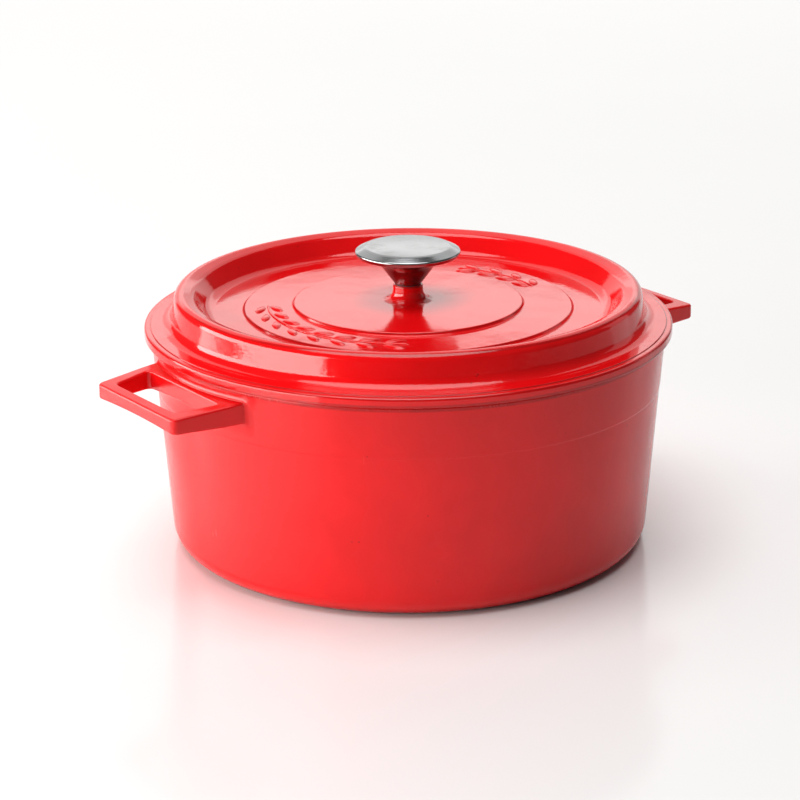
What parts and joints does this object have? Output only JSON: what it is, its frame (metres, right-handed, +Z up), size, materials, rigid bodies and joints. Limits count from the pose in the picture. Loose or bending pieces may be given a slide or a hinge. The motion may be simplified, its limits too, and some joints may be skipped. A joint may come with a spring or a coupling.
{
  "type": "dutch oven",
  "caption": "Round red enamelled cast iron dutch oven with loop handles at its sides and a lift-off lid carrying a steel mushroom knob.",
  "frame": {"origin": "middle of the foot, on the surface the pot stands on", "axes": "+Z up, +X along the line through the loop handles, +Y across it"},
  "size_m": [0.3546, 0.2944, 0.1681],
  "materials": {
    "pot_enamel": "glossy red vitreous enamel over cast iron",
    "lid_enamel": "glossy red vitreous enamel over cast iron",
    "knob_steel": "polished stainless steel",
    "fixing_steel": "satin stainless steel",
    "gasket": "matte black heat-proof rubber"
  },
  "bodies": {
    "pot": {"pot": "pot_enamel"},
    "lid": {"lid": "lid_enamel", "knob_cap": "knob_steel", "knob_stem": "knob_steel", "knob_insert": "fixing_steel", "knob_gasket": "gasket", "flat_washer": "fixing_steel", "spring_washer": "fixing_steel", "knob_screw": "fixing_steel"}
  },
  "joints": [
    {"name": "lid_lift", "type": "slide", "parent": "pot", "child": "lid", "axis": [0, 0, 1], "range_m": [0, 0.16]}
  ]
}
